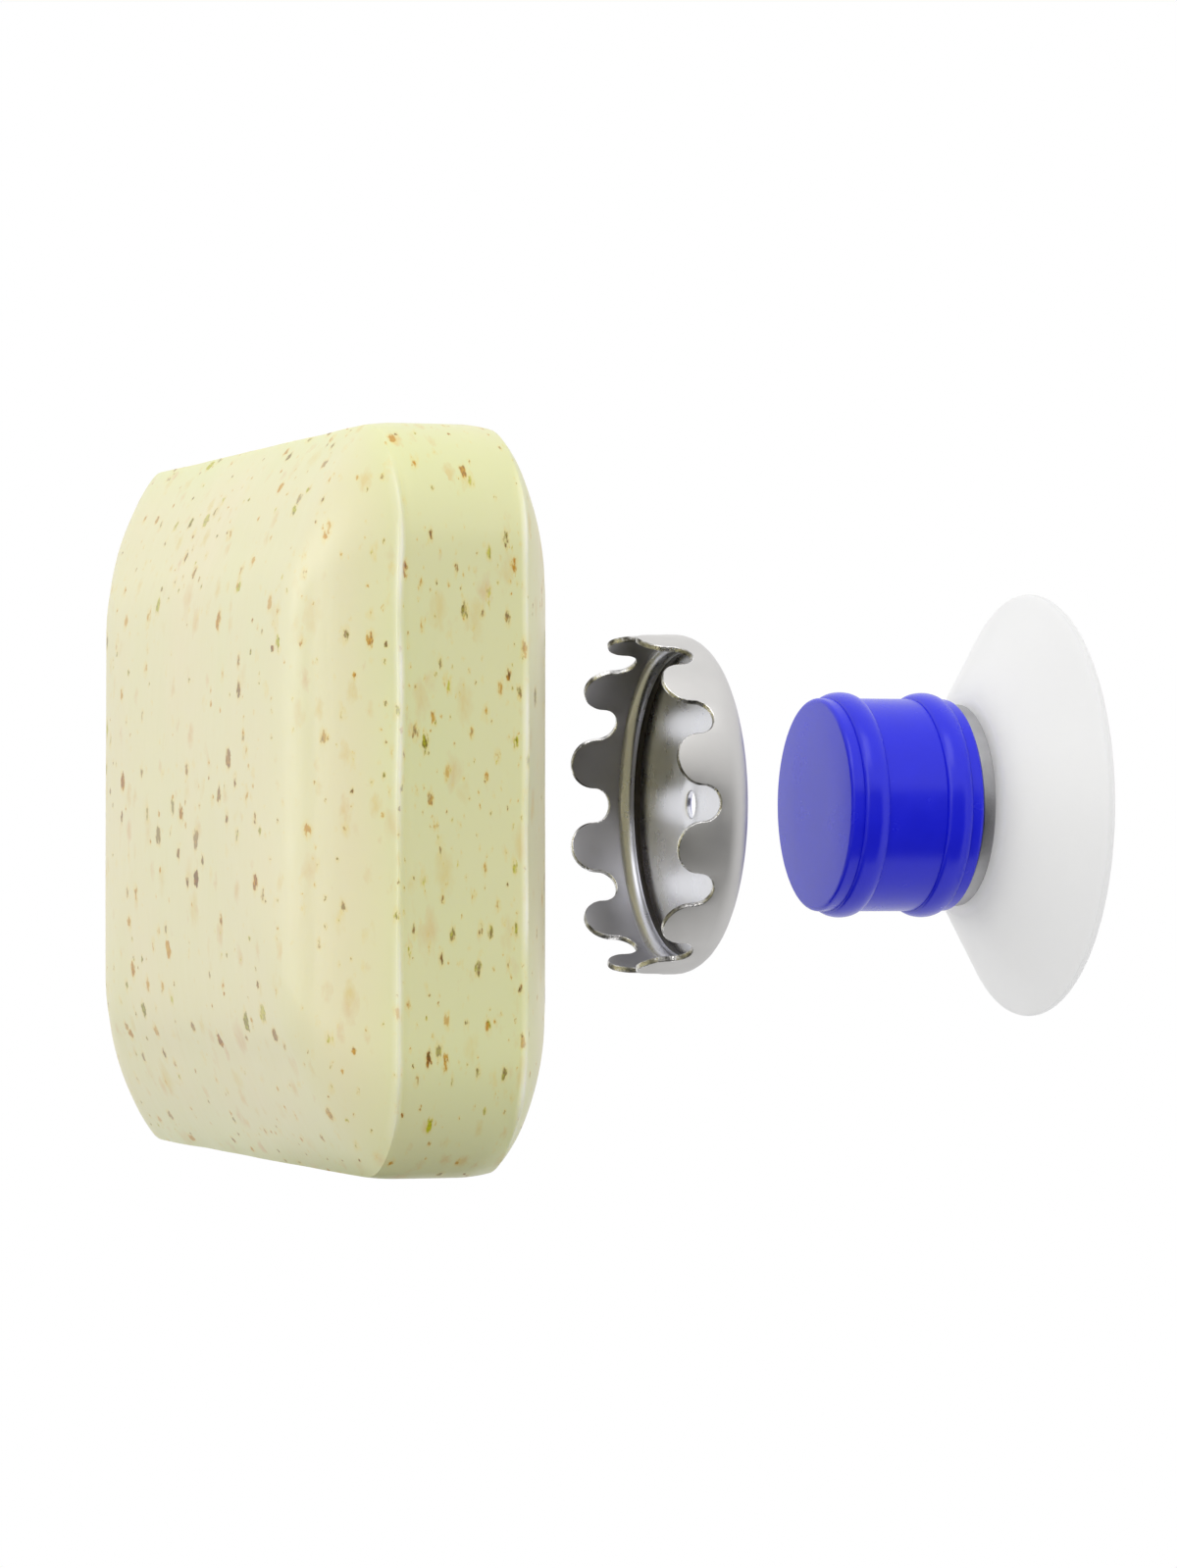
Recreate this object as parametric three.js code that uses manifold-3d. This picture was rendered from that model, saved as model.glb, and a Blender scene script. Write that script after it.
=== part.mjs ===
// Magnetic soap holder with its pieces apart on one level axis: soap bar, toothed steel cap, sleeved
// magnet and suction cup. Sizes are in millimetres. +Z is up and +Y points into the wall.
// The lip of the suction cup lies on the wall plane y = 0, and the front of every piece faces -Y.
import * as THREE from "three";
import Module from "manifold-3d";

const wasm = await Module();
wasm.setup();

// Air left between pieces that sit on or in one another.
const CLEARANCE = 0.3;

// Suction cup: a hub, a straight cone and a flat lip.
const CUP_RADIUS = 19;
const CUP_HEIGHT = 6.9;
const CUP_LIP = 0.5;
const CUP_LAND = 1;
const HUB_RADIUS = 10.4;
const HUB_EDGE = 0.7;
const HUB_COVER = 0.6;
const CEILING_RADIUS = 10.5;

// Neck pin: a headed pin with its foot moulded into the hub.
const PIN_RADIUS = 2;
const PIN_HEAD_RADIUS = 3.3;
const PIN_HEAD_THICKNESS = 1.6;
const PIN_FOOT_RADIUS = 4.5;
const PIN_FOOT_THICKNESS = 1;

// Sleeve over the magnet barrel. A rib stands near each end, with a plain stub outside it.
const SLEEVE_RADIUS = 9.5;
const SLEEVE_LENGTH = 12.3;
const SLEEVE_WALL = 1.4;
const SLEEVE_FACE = 1;
const SLEEVE_EDGE = 0.4;
const RIB_HEIGHT = 0.55;
const RIB_WIDTH = 2.4;
const FRONT_STUB = 0.75;
const BACK_STUB = 0.5;

// Magnet and the steel barrel around it, which ends in a flange behind the sleeve.
const BARREL_WALL = 1.5;
const MAGNET_THICKNESS = 5;
const FLANGE_RADIUS = 9.05;
const FLANGE_THICKNESS = 1.2;

// Steel cap: a thin sheet with round teeth at its open end. A bead runs round its wall just above the floor,
// undercut by an angle in degrees.
const CAP_RADIUS = 15;
const CAP_SHEET = 0.5;
const CAP_CORNER = 2.2;
const CAP_WALL = 0.9;
const CAP_HOLE_RADIUS = 1.2;
const BEAD_RADIUS = 1.1;
const BEAD_LIFT = 0.1;
const BEAD_UNDERCUT = 30;
const TOOTH_COUNT = 12;
const TOOTH_DEPTH = 3.75;
const TOOTH_WIDTH = 4.7;

// Soap bar: a flat side band between two bevelled and slightly domed faces.
const SOAP_WIDTH = 86;
const SOAP_HEIGHT = 61.5;
const SOAP_BAND = 10.5;
const SOAP_CORNER = 10.6;
const PANEL_CORNER = 4;
const BEVEL_INSET = 9.4;
const BEVEL_DEPTH = 4.9;
const BEVEL_BULGE = 0.45;
const BEVEL_SOFTNESS = 1.2;
const FACE_CROWN = 1.6;

// How far apart the pieces stand, and how close the cap's valleys come to the soap in use.
const CAP_APART = 11.15;
const SOAP_APART = 16.5;
const VALLEY_GAP = 0.4;

// Facets of the round pieces, of the teeth and of the soap.
const ROUND_COLUMNS = 48;
const ARC_STEPS = 3;
const TIP_STEPS = 6;
const VALLEY_STEPS = 4;
const CORNER_STEPS = 6;
const SIDE_STEPS = 4;
const BEVEL_STEPS = 4;
const PANEL_STEPS = 4;

// Depths inside the magnet holder, measured from the front rim of the barrel.
const barrelRadius = SLEEVE_RADIUS - SLEEVE_WALL - CLEARANCE;
const magnetRadius = barrelRadius - BARREL_WALL - CLEARANCE;
const pocketDepth = MAGNET_THICKNESS + CLEARANCE;
const headFront = pocketDepth + CLEARANCE;
const headSeat = headFront + PIN_HEAD_THICKNESS + CLEARANCE;
const flangeFront = SLEEVE_LENGTH - SLEEVE_FACE;
const barrelLength = flangeFront + FLANGE_THICKNESS;

// Places along the axis. Each piece stands in front of the one before it.
const hubFront = -CUP_HEIGHT;
const footFront = hubFront + HUB_COVER + CLEARANCE;
const footBack = footFront + PIN_FOOT_THICKNESS;
const barrelFront = hubFront - CLEARANCE - barrelLength;
const sleeveFront = barrelFront - CLEARANCE - SLEEVE_FACE;
const capFloor = sleeveFront - CAP_APART;
const capHeight = CAP_CORNER + CAP_WALL + TOOTH_DEPTH;
const soapThickness = SOAP_BAND + 2 * faceRise(SOAP_HEIGHT / 2);
const soapMiddle = capFloor - capHeight - SOAP_APART - soapThickness / 2;

// Points of an elliptic arc in a profile plane. Angle 0 points outwards and 90 degrees to +Y.
function arc(radius, y, radialSize, axialSize, fromDegrees, toDegrees, steps) {
  return Array.from({ length: steps + 1 }, (_, i) => {
    const angle = THREE.MathUtils.degToRad(fromDegrees + ((toDegrees - fromDegrees) * i) / steps);
    return [radius + radialSize * Math.cos(angle), y + axialSize * Math.sin(angle)];
  });
}

// Turns a profile of [radius, y] points about the axis. Profiles run towards +Y along the outside.
function turned(profile) {
  const points = profile.map(([radius, y]) => new THREE.Vector2(radius, y));
  return new THREE.LatheGeometry(points, ROUND_COLUMNS);
}

function aroundAxis(radius, y, angle) {
  return new THREE.Vector3(radius * Math.cos(angle), y, radius * Math.sin(angle));
}

// Joins rings of points into a surface. The rings run towards +Y along the outside, and their points go
// from +X to +Z. A ring of one point is a pole.
function skin(rings, closed) {
  const positions = [];
  const starts = rings.map((ring) => {
    const start = positions.length / 3;
    ring.forEach((point) => positions.push(point.x, point.y, point.z));
    return start;
  });
  const columns = Math.max(...rings.map((ring) => ring.length));
  const corner = (ring, column) => starts[ring] + (column % rings[ring].length);
  const index = [];
  const spans = closed ? rings.length : rings.length - 1;
  for (let span = 0; span < spans; span++) {
    const next = (span + 1) % rings.length;
    for (let column = 0; column < columns; column++) {
      if (rings[span].length > 1) {
        index.push(corner(span, column), corner(next, column), corner(span, column + 1));
      }
      if (rings[next].length > 1) {
        index.push(corner(span, column + 1), corner(next, column), corner(next, column + 1));
      }
    }
  }
  const geometry = new THREE.BufferGeometry();
  geometry.setAttribute("position", new THREE.Float32BufferAttribute(positions, 3));
  geometry.setIndex(index);
  return geometry;
}

function toSolid(geometry) {
  return new wasm.Manifold(
    new wasm.Mesh({
      numProp: 3,
      vertProperties: new Float32Array(geometry.getAttribute("position").array),
      triVerts: new Uint32Array(geometry.getIndex().array),
    }),
  );
}

function fromSolid(solid) {
  const mesh = solid.getMesh();
  const geometry = new THREE.BufferGeometry();
  geometry.setAttribute("position", new THREE.Float32BufferAttribute(mesh.vertProperties, 3));
  geometry.setIndex(Array.from(mesh.triVerts));
  return geometry;
}

// The toothed edge is a row of round tips and round valleys. A valley lies at angle 0.
const halfPitch = Math.PI / TOOTH_COUNT;
const tipHalf = TOOTH_WIDTH / 2 / CAP_RADIUS;
const valleyHalf = halfPitch - tipHalf;
const tipRise = (TOOTH_DEPTH * tipHalf) / halfPitch;
const valleyRise = TOOTH_DEPTH - tipRise;

// Height of the edge above the valleys at an angle.
function toothHeight(angle) {
  const fromValley = Math.abs(angle - 2 * halfPitch * Math.round(angle / (2 * halfPitch)));
  const fromTip = halfPitch - fromValley;
  if (fromTip < tipHalf) {
    return valleyRise + tipRise * Math.sqrt(1 - (fromTip / tipHalf) ** 2);
  }
  return valleyRise * (1 - Math.sqrt(Math.max(0, 1 - (fromValley / valleyHalf) ** 2)));
}

// Angles that follow the tips and valleys closely, tooth by tooth.
function toothAngles() {
  const angles = [];
  for (let tooth = 0; tooth < TOOTH_COUNT; tooth++) {
    const valley = 2 * halfPitch * tooth;
    for (let i = 0; i < VALLEY_STEPS; i++) {
      angles.push(valley + valleyHalf * Math.sin(Math.PI * (i / VALLEY_STEPS - 0.5)));
    }
    for (let i = 0; i < TIP_STEPS; i++) {
      angles.push(valley + halfPitch + tipHalf * Math.sin(Math.PI * (i / TIP_STEPS - 0.5)));
    }
  }
  return angles;
}

// The cap's flat outer floor lies at y = 0.
function steelCap() {
  const wallInside = CAP_RADIUS - CAP_SHEET;
  const valleys = -CAP_CORNER - CAP_WALL;
  const corner = arc(CAP_RADIUS - CAP_CORNER, -CAP_CORNER, CAP_CORNER, CAP_CORNER, 0, 90, ARC_STEPS);
  const undercut = THREE.MathUtils.degToRad(BEAD_UNDERCUT);
  const beadLevel = -CAP_SHEET - BEAD_LIFT - BEAD_RADIUS * Math.sin(undercut);
  const beadStart = -180 - BEAD_UNDERCUT;
  const bead = arc(wallInside, beadLevel, BEAD_RADIUS, BEAD_RADIUS, beadStart, -90, 2 * ARC_STEPS);
  const angles = toothAngles();
  const ring = ([radius, y]) => angles.map((angle) => aroundAxis(radius, y, angle));
  const edge = (radius) =>
    angles.map((angle) => aroundAxis(radius, valleys - toothHeight(angle), angle));
  const rings = [
    edge(CAP_RADIUS),
    ...corner.map(ring),
    ring([CAP_HOLE_RADIUS, 0]),
    ring([CAP_HOLE_RADIUS, -CAP_SHEET]),
    ring([wallInside - BEAD_RADIUS * Math.cos(undercut), -CAP_SHEET]),
    ...bead.map(ring),
    edge(wallInside),
  ];
  return skin(rings, true);
}

// The room that the cap's teeth take up in the soap when the soap is pressed onto them.
function toothMarks() {
  const spread = CLEARANCE / CAP_RADIUS;
  const valleys = soapThickness / 2 + VALLEY_GAP;
  const inside = CAP_RADIUS - CAP_SHEET - CLEARANCE;
  const outside = CAP_RADIUS + CLEARANCE;
  const angles = toothAngles();
  const base = (radius) => angles.map((angle) => aroundAxis(radius, valleys + CLEARANCE, angle));
  const edge = (radius) =>
    angles.map((angle) => {
      const height = Math.max(...[-spread, 0, spread].map((shift) => toothHeight(angle + shift)));
      return aroundAxis(radius, valleys - height - CLEARANCE, angle);
    });
  return skin([edge(outside), base(outside), base(inside), edge(inside)], true);
}

// Corner radius of the bar's outline: it closes to the panel's corner over the bevel, and then shrinks
// with the outline.
function barCorner(inset) {
  if (inset < BEVEL_INSET) {
    return THREE.MathUtils.lerp(SOAP_CORNER, PANEL_CORNER, inset / BEVEL_INSET);
  }
  return (PANEL_CORNER * (SOAP_HEIGHT / 2 - inset)) / (SOAP_HEIGHT / 2 - BEVEL_INSET);
}

// Outline of the bar at a distance inside its side band: round corners and straight sides between them.
function barOutline(inset, y) {
  const corner = barCorner(inset);
  const cornerX = SOAP_WIDTH / 2 - inset - corner;
  const cornerZ = SOAP_HEIGHT / 2 - inset - corner;
  const signs = [[1, 1], [-1, 1], [-1, -1], [1, -1]];
  const arcs = signs.map(([alongX, alongZ], quarter) =>
    Array.from({ length: CORNER_STEPS + 1 }, (_, i) => {
      const angle = (Math.PI / 2) * (quarter + i / CORNER_STEPS);
      const middle = new THREE.Vector3(alongX * cornerX, y, alongZ * cornerZ);
      return middle.add(aroundAxis(corner, 0, angle));
    }),
  );
  return arcs.flatMap((points, quarter) => {
    const start = points[CORNER_STEPS];
    const end = arcs[(quarter + 1) % arcs.length][0];
    const side = Array.from({ length: SIDE_STEPS - 1 }, (_, i) =>
      start.clone().lerp(end, (i + 1) / SIDE_STEPS),
    );
    return [...points, ...side];
  });
}

// How far a face stands out of the side band at a distance inside the outline: a slightly bulging bevel
// that runs softly into a domed panel.
function faceRise(inset) {
  const rise = (distance) => {
    const bulge = BEVEL_BULGE * Math.sin(Math.PI * Math.min(distance / BEVEL_INSET, 1));
    const bevel = (BEVEL_DEPTH / BEVEL_INSET) * distance + bulge;
    const panel = BEVEL_DEPTH + FACE_CROWN * (1 - (1 - (2 * distance) / SOAP_HEIGHT) ** 2);
    return (bevel + panel - Math.hypot(bevel - panel, BEVEL_SOFTNESS)) / 2;
  };
  return rise(inset) - rise(0);
}

// Distances inside the outline at which a face has a ring, from the band to near its middle.
function faceInsets() {
  const panelWidth = SOAP_HEIGHT / 2 - BEVEL_INSET;
  const bevel = Array.from({ length: BEVEL_STEPS }, (_, i) => (BEVEL_INSET * i) / BEVEL_STEPS);
  const panel = Array.from({ length: PANEL_STEPS }, (_, i) => BEVEL_INSET + (panelWidth * i) / PANEL_STEPS);
  return [...bevel, ...panel];
}

// The bar's middle plane lies at y = 0.
function soapBar() {
  const level = (inset) => SOAP_BAND / 2 + faceRise(inset);
  const front = faceInsets().map((inset) => barOutline(inset, -level(inset)));
  const back = faceInsets().map((inset) => barOutline(inset, level(inset)));
  const pole = (side) => [aroundAxis(0, (side * soapThickness) / 2, 0)];
  const bar = skin([pole(-1), ...front.reverse(), ...back, pole(1)], false);
  return fromSolid(toSolid(bar).subtract(toSolid(toothMarks())));
}

function rib(start) {
  return arc(SLEEVE_RADIUS, start + RIB_WIDTH / 2, RIB_HEIGHT, RIB_WIDTH / 2, -90, 90, 2 * ARC_STEPS);
}

// The sleeve's front face lies at y = 0.
function protectorSleeve() {
  const inside = SLEEVE_RADIUS - SLEEVE_WALL;
  const edgeRadius = SLEEVE_RADIUS - SLEEVE_EDGE;
  const edge = (y, from, to) => arc(edgeRadius, y, SLEEVE_EDGE, SLEEVE_EDGE, from, to, ARC_STEPS);
  return turned([
    [0, 0],
    ...edge(SLEEVE_EDGE, -90, 0),
    ...rib(SLEEVE_EDGE + FRONT_STUB),
    ...rib(SLEEVE_LENGTH - SLEEVE_EDGE - BACK_STUB - RIB_WIDTH),
    ...edge(SLEEVE_LENGTH - SLEEVE_EDGE, 0, 90),
    [inside, SLEEVE_LENGTH],
    [inside, SLEEVE_FACE],
    [0, SLEEVE_FACE],
  ]);
}

// The barrel's front rim lies at y = 0.
function magnetBarrel() {
  const bore = PIN_RADIUS + CLEARANCE;
  const chamber = PIN_HEAD_RADIUS + CLEARANCE;
  const pocket = magnetRadius + CLEARANCE;
  return turned([
    [pocket, 0],
    [barrelRadius, 0],
    [barrelRadius, flangeFront],
    [FLANGE_RADIUS, flangeFront],
    [FLANGE_RADIUS, barrelLength],
    [bore, barrelLength],
    [bore, headSeat],
    [chamber, headSeat],
    [chamber, pocketDepth],
    [pocket, pocketDepth],
    [pocket, 0],
  ]);
}

// The magnet's front face lies at y = 0.
function magnetDisc() {
  return turned([
    [0, 0],
    [magnetRadius, 0],
    [magnetRadius, MAGNET_THICKNESS],
    [0, MAGNET_THICKNESS],
  ]);
}

// The front of the pin's head lies at y = 0.
function neckPin() {
  const footDepth = footFront - barrelFront - headFront;
  return turned([
    [0, 0],
    [PIN_HEAD_RADIUS, 0],
    [PIN_HEAD_RADIUS, PIN_HEAD_THICKNESS],
    [PIN_RADIUS, PIN_HEAD_THICKNESS],
    [PIN_RADIUS, footDepth],
    [PIN_FOOT_RADIUS, footDepth],
    [PIN_FOOT_RADIUS, footDepth + PIN_FOOT_THICKNESS],
    [0, footDepth + PIN_FOOT_THICKNESS],
  ]);
}

// The cup's lip lies on the wall plane y = 0. Its hub holds the foot of the pin.
function suctionCup() {
  const bore = PIN_RADIUS + CLEARANCE;
  const chamber = PIN_FOOT_RADIUS + CLEARANCE;
  const ceiling = footBack + CLEARANCE + HUB_COVER;
  const lipRadius = CUP_RADIUS - CUP_LIP;
  const hubEdge = arc(HUB_RADIUS - HUB_EDGE, hubFront + HUB_EDGE, HUB_EDGE, HUB_EDGE, -90, -30, ARC_STEPS);
  const lip = arc(lipRadius, -CUP_LIP, CUP_LIP, CUP_LIP, -30, 90, ARC_STEPS);
  return turned([
    [0, footBack + CLEARANCE],
    [chamber, footBack + CLEARANCE],
    [chamber, footFront - CLEARANCE],
    [bore, footFront - CLEARANCE],
    [bore, hubFront],
    ...hubEdge,
    ...lip,
    [lipRadius - CUP_LAND, 0],
    [CEILING_RADIUS, ceiling],
    [0, ceiling],
  ]);
}

function plastic(color, roughness) {
  return new THREE.MeshStandardMaterial({ color, roughness, metalness: 0 });
}

function metal(color, roughness) {
  return new THREE.MeshStandardMaterial({ color, roughness, metalness: 1 });
}

// One named piece of the holder, placed along the axis.
function piece(name, geometry, material, y) {
  const mesh = new THREE.Mesh(geometry, material);
  mesh.name = name;
  mesh.position.y = y;
  return mesh;
}

// The sleeve, the barrel and the magnet stay together, so they share a group.
const magnetHolder = new THREE.Group();
magnetHolder.name = "magnet_holder";
magnetHolder.position.y = barrelFront;
magnetHolder.add(
  piece("protector_sleeve", protectorSleeve(), plastic(0x1a18c8, 0.4), sleeveFront - barrelFront),
  piece("magnet_barrel", magnetBarrel(), metal(0xa3a3a1, 0.4), 0),
  piece("magnet_disc", magnetDisc(), metal(0xc9c9cc, 0.25), 0),
);

const soapHolder = new THREE.Group();
soapHolder.name = "magnetic_soap_holder";
soapHolder.add(
  piece("soap_bar", soapBar(), plastic(0xe4e0c3, 0.45), soapMiddle),
  piece("steel_cap", steelCap(), metal(0xb9b6b2, 0.3), capFloor),
  magnetHolder,
  piece("neck_pin", neckPin(), metal(0x8f8f92, 0.35), barrelFront + headFront),
  piece("suction_cup", suctionCup(), plastic(0xf2f4f5, 0.25), 0),
);

export default soapHolder;
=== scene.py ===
"""Looks of a magnetic soap holder that is shown apart: a speckled soap bar, a toothed steel cap, a sleeve
over a magnet barrel, and a milky suction cup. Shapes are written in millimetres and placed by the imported
frame, in which +Z is up and +Y points into the wall."""
import math

import bmesh
import bpy
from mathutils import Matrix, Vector, noise


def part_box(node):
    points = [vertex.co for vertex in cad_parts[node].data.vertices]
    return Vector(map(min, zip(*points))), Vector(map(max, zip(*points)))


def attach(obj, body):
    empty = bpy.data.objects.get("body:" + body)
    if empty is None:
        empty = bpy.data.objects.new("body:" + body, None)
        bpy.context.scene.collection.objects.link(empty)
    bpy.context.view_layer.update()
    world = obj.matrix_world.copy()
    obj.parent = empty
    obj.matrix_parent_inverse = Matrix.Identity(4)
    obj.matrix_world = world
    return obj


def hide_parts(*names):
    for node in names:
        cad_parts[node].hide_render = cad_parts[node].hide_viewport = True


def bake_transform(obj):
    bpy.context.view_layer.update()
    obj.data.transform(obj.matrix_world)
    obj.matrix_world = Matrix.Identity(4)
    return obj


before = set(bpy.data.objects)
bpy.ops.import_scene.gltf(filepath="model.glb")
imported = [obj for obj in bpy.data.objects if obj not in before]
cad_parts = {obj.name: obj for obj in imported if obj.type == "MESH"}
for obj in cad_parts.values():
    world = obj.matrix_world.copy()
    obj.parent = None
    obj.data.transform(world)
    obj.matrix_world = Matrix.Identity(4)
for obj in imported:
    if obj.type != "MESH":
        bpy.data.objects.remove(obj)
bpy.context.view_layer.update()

MM = 0.001

# Air between pieces that sit on or in one another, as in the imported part.
CLEARANCE = 0.3

# Soap bar: a flat side band between two bevelled and slightly domed faces. Along the upright sides each edge
# of the band carries a parting ridge. It fades in the corners, over a range of degrees, into an edge that is
# rounded over a reach and by a depth. Pressed onto the cap, the bar stops short of the teeth's valleys.
SOAP_BAND = 10.5
SOAP_CORNER = 10.6
PANEL_CORNER = 4
BEVEL_INSET = 9.4
BEVEL_DEPTH = 4.9
BEVEL_BULGE = 0.45
BEVEL_SOFTNESS = 1.2
FACE_CROWN = 1.6
RIDGE_HEIGHT = 0.25
RIDGE_FOOT = 0.45
RIDGE_FADE = (12, 52)
FRONT_ROUND = (2.5, 0.2)
BACK_ROUND = (3, 0.35)
ROUND_TURN = 31
VALLEY_GAP = 0.4

# A ridge wavers in waves of a size, and moves the surface within a reach with it. Its pale colour, a painted
# highlight, shows by a share, more or less in patches of a size. Shallow dents cover the whole bar.
RIDGE_WAVER = 0.25
RIDGE_WAVE = 9
RIDGE_REACH = 1.5
RIDGE_HIGHLIGHT_SHARE = 0.6
RIDGE_HIGHLIGHT_PATCHES = 0.8
RIDGE_HIGHLIGHT_PATCH_SIZE = 5
SOAP_DENT = 0.12
SOAP_DENT_SIZE = 13

# Marks on the soap's mesh for its material, where the painted highlight of its ridges and the painted shade
# of its band go, and how far the band's mark fades into the faces.
RIDGE_HIGHLIGHT_MARK = "ridge"
BAND_SHADE_MARK = "band_shade"
BAND_SHADE_FADE = 3

# Steel cap: a thin sheet with round teeth at its open end. A bead runs round its wall just above the floor,
# undercut by an angle in degrees.
CAP_SHEET = 0.5
CAP_CORNER = 2.2
CAP_HOLE_RADIUS = 1.2
CUT_ROUND = 0.1
BEAD_RADIUS = 1.1
BEAD_LIFT = 0.1
BEAD_UNDERCUT = 30
TOOTH_COUNT = 12
TOOTH_DEPTH = 3.75
TOOTH_WIDTH = 4.7

# Sleeve with two ribs, each with a plain stub outside it.
SLEEVE_WALL = 1.4
SLEEVE_FACE = 1
SLEEVE_EDGE = 0.4
SEAM = 0.05
RIB_HEIGHT = 0.55
RIB_WIDTH = 2.4
FRONT_STUB = 0.75
BACK_STUB = 0.5

# Magnet barrel inside the sleeve, with a flange behind it.
BARREL_WALL = 1.5
FLANGE_THICKNESS = 1.2
FLANGE_EDGE = 0.15
HEAD_THICKNESS = 1.6
HEAD_RADIUS = 3.3
PIN_RADIUS = 2

# Suction cup: a hub, a straight cone and a flat lip. The rounds of hub and lip end where the cone starts, an
# angle in degrees forwards of straight out.
CUP_LIP = 0.5
CUP_LAND = 1
CONE_TURN = 30
HUB_RADIUS = 10.4
HUB_EDGE = 0.7
HUB_COVER = 0.6
CEILING_RADIUS = 10.5
FOOT_RADIUS = 4.5
FOOT_THICKNESS = 1

# Fineness of the meshes. The rings of a soap face crowd towards its edge by a power.
ROUND_COLUMNS = 192
ARC_STEPS = 8
CUT_STEPS = 3
TIP_STEPS = 20
VALLEY_STEPS = 14
CORNER_STEPS = 18
SIDE_STEP = 1.6
FACE_STEPS = 44
FACE_CROWDING = 1.5
BAND_STEPS = 10
SHARP_ANGLE = 40

# Soap: colours of its faces, of its band, which is painted greener and darker as shade, of the
# painted highlight on its ridges and of the light that comes back out of it, how deep that light goes, its
# roughness, and the sizes of its clouds, of its sheen and of its pores.
FACE_COLOURS = [(0.76, 0.675, 0.44), (0.7, 0.69, 0.4)]
BAND_SHADE_COLOURS = [(0.73, 0.69, 0.41), (0.66, 0.7, 0.37)]
RIDGE_HIGHLIGHT_COLOUR = (0.88, 0.86, 0.72)
SOAP_GLOW_COLOUR = (1, 0.85, 0.4)
SOAP_GLOW = 0.25
SOAP_GLOW_DEPTH = 4
SOAP_ROUGHNESS = (0.3, 0.42)
SOAP_CLOUD = (14, 14, 24)
SOAP_SHEEN = (2, 2, 5)
SOAP_PORE = (1.6, 1.6, 4)
SOAP_PORE_DEPTH = 0.04

# Herb flecks in the soap: colours at the surface, below it and in the tint around each, and the size of
# their grain. Lengths after that count in cells, each of which holds one fleck at most: how far an edge is
# blurred or torn, and how far a tint reaches. Flecks are smaller outside a cluster than in it.
HERB_COLOURS = [
    (0.5, 0.48, 0.002),
    (0.24, 0.21, 0.001),
    (0.14, 0.045, 0.002),
    (0.36, 0.15, 0.003),
    (0.56, 0.29, 0.003),
    (0.5, 0.23, 0.012),
]
DEEP_COLOURS = [(0.67, 0.46, 0.19), (0.67, 0.54, 0.17), (0.64, 0.42, 0.2)]
HALO_COLOUR = (0.73, 0.57, 0.15)
HERB_GRAIN = (0.25, 0.25, 0.35)
HERB_OPACITY = (0.6, 1)
HERB_BLUR = 0.08
HALO_OPACITY = 0.4
HALO_REACH = 0.15
HALO_BLUR = 0.18
DEEP_LARGEST = 0.38
DEEP_SHARE = 0.75
DEEP_REACH = 0.08
DEEP_BLUR = 0.3
TEAR_REACH = 0.5
TEAR_FINENESS = 4
CLUSTER_FINENESS = 0.3
CLUSTER_EDGE = (0.35, 0.6)
CLUSTER_SIZES = (0.6, 1)

# Metal: colours, sizes of the smudges and of the grain, and by what share smudges change shade and polish.
CAP_OUTSIDE_COLOUR = (0.68, 0.67, 0.66)
# Painted light: the cap's floor is lighter and bluer than the rest of its sheet.
CAP_FLOOR_LIT_COLOUR = (0.79, 0.8, 0.86)
# Painted shade: the cap's inner wall is darker than the rest of its sheet.
CAP_WALL_SHADED_COLOUR = (0.47, 0.465, 0.49)
# Painted highlight: the cap's bead is lighter than its wall.
CAP_BEAD_HIGHLIGHT_COLOUR = (0.58, 0.585, 0.635)
# Painted shade: the groove at the bead's foot is nearly black.
CAP_GROOVE_SHADE_COLOUR = (0.05, 0.045, 0.045)
BARREL_COLOUR = (0.42, 0.42, 0.43)
MAGNET_COLOUR = (0.72, 0.72, 0.74)
PIN_COLOUR = (0.56, 0.56, 0.57)
SMUDGE_SIZE = 3
SMUDGE_SHADE = 0.1
SMUDGE_POLISH = 0.25
FINE_GRAIN = 0.15

# Sheared edge of the cap's sheet: dark and bright parts, which are painted shade and painted glints, and
# where in the noise they part.
CUT_GLINT_AND_SHADE_COLOURS = [(0.1, 0.096, 0.09), (0.9, 0.89, 0.88)]
CUT_ROUGHNESS = (0.5, 0.2)
CUT_PART_SIZE = 1.7
CUT_PART_EDGE = (0.36, 0.6)
CUT_GRAIN = 0.3
CUT_GRAIN_DEPTH = 0.12

# Sleeve's elastomer.
SLEEVE_COLOURS = [(0.003, 0.006, 0.64), (0.004, 0.008, 0.76)]
SLEEVE_ROUGHNESS = (0.22, 0.3)
SLEEVE_MOTTLE = 2.5
SLEEVE_GRAIN_DEPTH = 0.004

# Cup's vinyl, the grey painted on its lip as shade along its edge, and how deep light goes into it.
CUP_COLOUR = (0.945, 0.95, 0.955)
LIP_SHADE_COLOUR = (0.75, 0.755, 0.76)
CUP_SHADE = 0.015
CUP_ROUGHNESS = (0.3, 0.42)
CUP_MOTTLE = 4
CUP_GRAIN = 0.4
CUP_GRAIN_DEPTH = 0.01
CUP_GLOW_DEPTH = 20
CUP_IOR = 1.45

# Stage: the floor's level and reach, the grey of its matt part, and how white it looks near the object and,
# further off, where it fades into the background. The lamps stand at one distance.
FLOOR_LEVEL = -350
FLOOR_REACH = 4000
FLOOR_GREY = 0.5
FLOOR_FADE = (200, 900)
FLOOR_WHITE = (0.85, 1)
CARD_GREY = 0.01
LAMP_DISTANCE = 700

# Camera: where it aims, how far off it stands and at what angle, in millimetres and degrees. The scale of
# the photograph at that distance gives its lens.
AIM = Vector((0, -42.2, 1.78))
DISTANCE = 520
YAW = 18.8
TILT = -0.6
PHOTO_HEIGHT = 1599
PIXELS_PER_MM = 11.6
SENSOR = 36


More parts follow.
